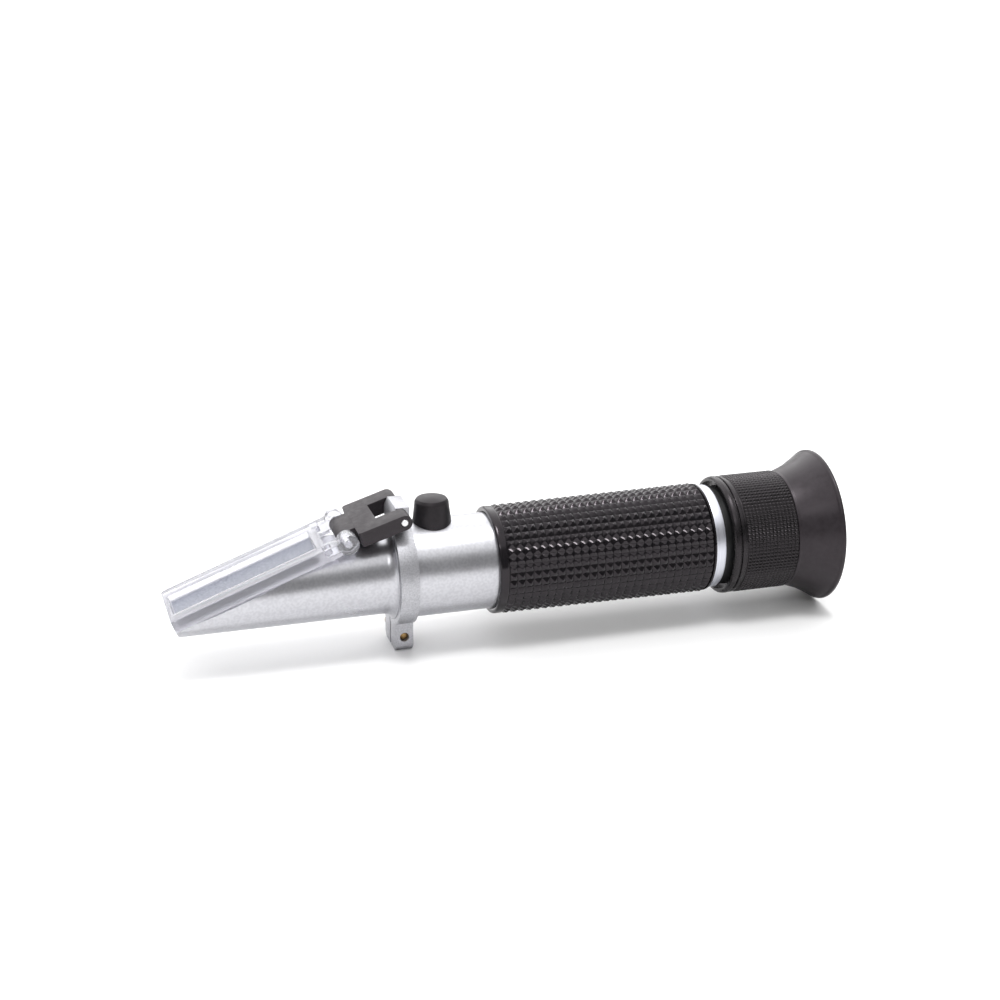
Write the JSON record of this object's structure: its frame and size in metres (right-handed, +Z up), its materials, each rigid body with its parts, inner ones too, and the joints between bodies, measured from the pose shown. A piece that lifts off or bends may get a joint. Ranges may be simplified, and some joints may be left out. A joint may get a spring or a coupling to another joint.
{
  "type": "refractometer",
  "caption": "Handheld optical refractometer: wedge prism under a hinged clear plate, silver tube with clamp ring and calibration cap, black ribbed grip, focus ring and flared rubber eyecup.",
  "frame": {"origin": "on the table, under the middle of the instrument's bounding box", "axes": "+X along the optical axis from the prism to the eye, +Z up, +Y completes the right-handed frame"},
  "size_m": [0.1898, 0.044, 0.044],
  "materials": {
    "satin_silver": "satin silver paint",
    "cast_silver": "bead-blasted casting",
    "turned_aluminium": "satin",
    "optical_glass": "polished",
    "brass": "turned",
    "steel": "turned",
    "link_plastic": "matt",
    "clear_acrylic": "clear, moulded",
    "black_rubber": "moulded",
    "glossy_rubber": "glossy",
    "black_anodised": "black anodised",
    "black_plastic": "satin, knurled",
    "eyecup_rubber": "satin"
  },
  "bodies": {
    "instrument": {"prism_housing": "satin_silver", "measuring_prism": "optical_glass", "barrel": "satin_silver", "clamp_ring": "cast_silver", "clamp_screw": "brass", "hinge_pin": "steel", "calibration_bush": "brass", "guide_ring": "black_anodised", "front_baffle": "black_anodised", "rear_baffle": "black_anodised", "reticle_cell": "black_anodised", "reticle": "optical_glass", "reticle_retainer": "black_anodised", "grip_front_ring": "glossy_rubber", "grip_sleeve": "glossy_rubber", "rear_collar": "turned_aluminium", "eyepiece_mount": "black_anodised", "guide_pin": "steel"},
    "link": {"hinge_link": "link_plastic", "plate_pin": "steel"},
    "cover": {"daylight_plate": "clear_acrylic"},
    "cap": {"calibration_cap": "black_rubber"},
    "adjuster": {"calibration_screw": "brass"},
    "objective": {"objective_cell": "brass", "objective_crown": "optical_glass", "objective_flint": "optical_glass", "objective_retainer": "brass"},
    "lens_barrel": {"lens_tube": "black_anodised", "field_lens": "optical_glass", "lens_spacer": "black_anodised", "eye_lens": "optical_glass", "eye_lens_retainer": "black_anodised", "focus_clip": "steel"},
    "focusing_ring": {"focus_ring": "black_plastic", "eyecup": "eyecup_rubber"}
  },
  "joints": [
    {"name": "cover_link_hinge", "type": "hinge", "parent": "instrument", "child": "link", "pos_m": [-0.03111, 0, 0.0398], "axis": [0, 1, 0], "range_deg": [0, 105]},
    {"name": "plate_hinge", "type": "hinge", "parent": "link", "child": "cover", "pos_m": [-0.04641, 0, 0.03501], "axis": [0, 1, 0], "range_deg": [0, 75]},
    {"name": "cap_pull", "type": "slide", "parent": "instrument", "child": "cap", "axis": [0, 0, 1], "range_m": [0, 0.01]},
    {"name": "calibration_turn", "type": "hinge", "parent": "instrument", "child": "adjuster", "pos_m": [-0.0209, 0, 0.036], "axis": [0, 0, 1], "range_deg": [-181, 181]},
    {"name": "objective_shift", "type": "slide", "parent": "instrument", "child": "objective", "axis": [0, 0, 1], "range_m": [-0.0003, 0.0003]},
    {"name": "eyepiece_slide", "type": "slide", "parent": "instrument", "child": "lens_barrel", "axis": [1, 0, 0], "range_m": [-0.0007, 0.0041]},
    {"name": "focus_turn", "type": "hinge", "parent": "lens_barrel", "child": "focusing_ring", "pos_m": [0.0758, 0, 0.022], "axis": [1, 0, 0], "range_deg": [-30, 180]}
  ],
  "couplings": [
    {"joint": "calibration_turn", "follows": "objective_shift", "rad_per_m": -10472},
    {"joint": "eyepiece_slide", "follows": "focus_turn", "m_per_rad": 0.0012732}
  ]
}
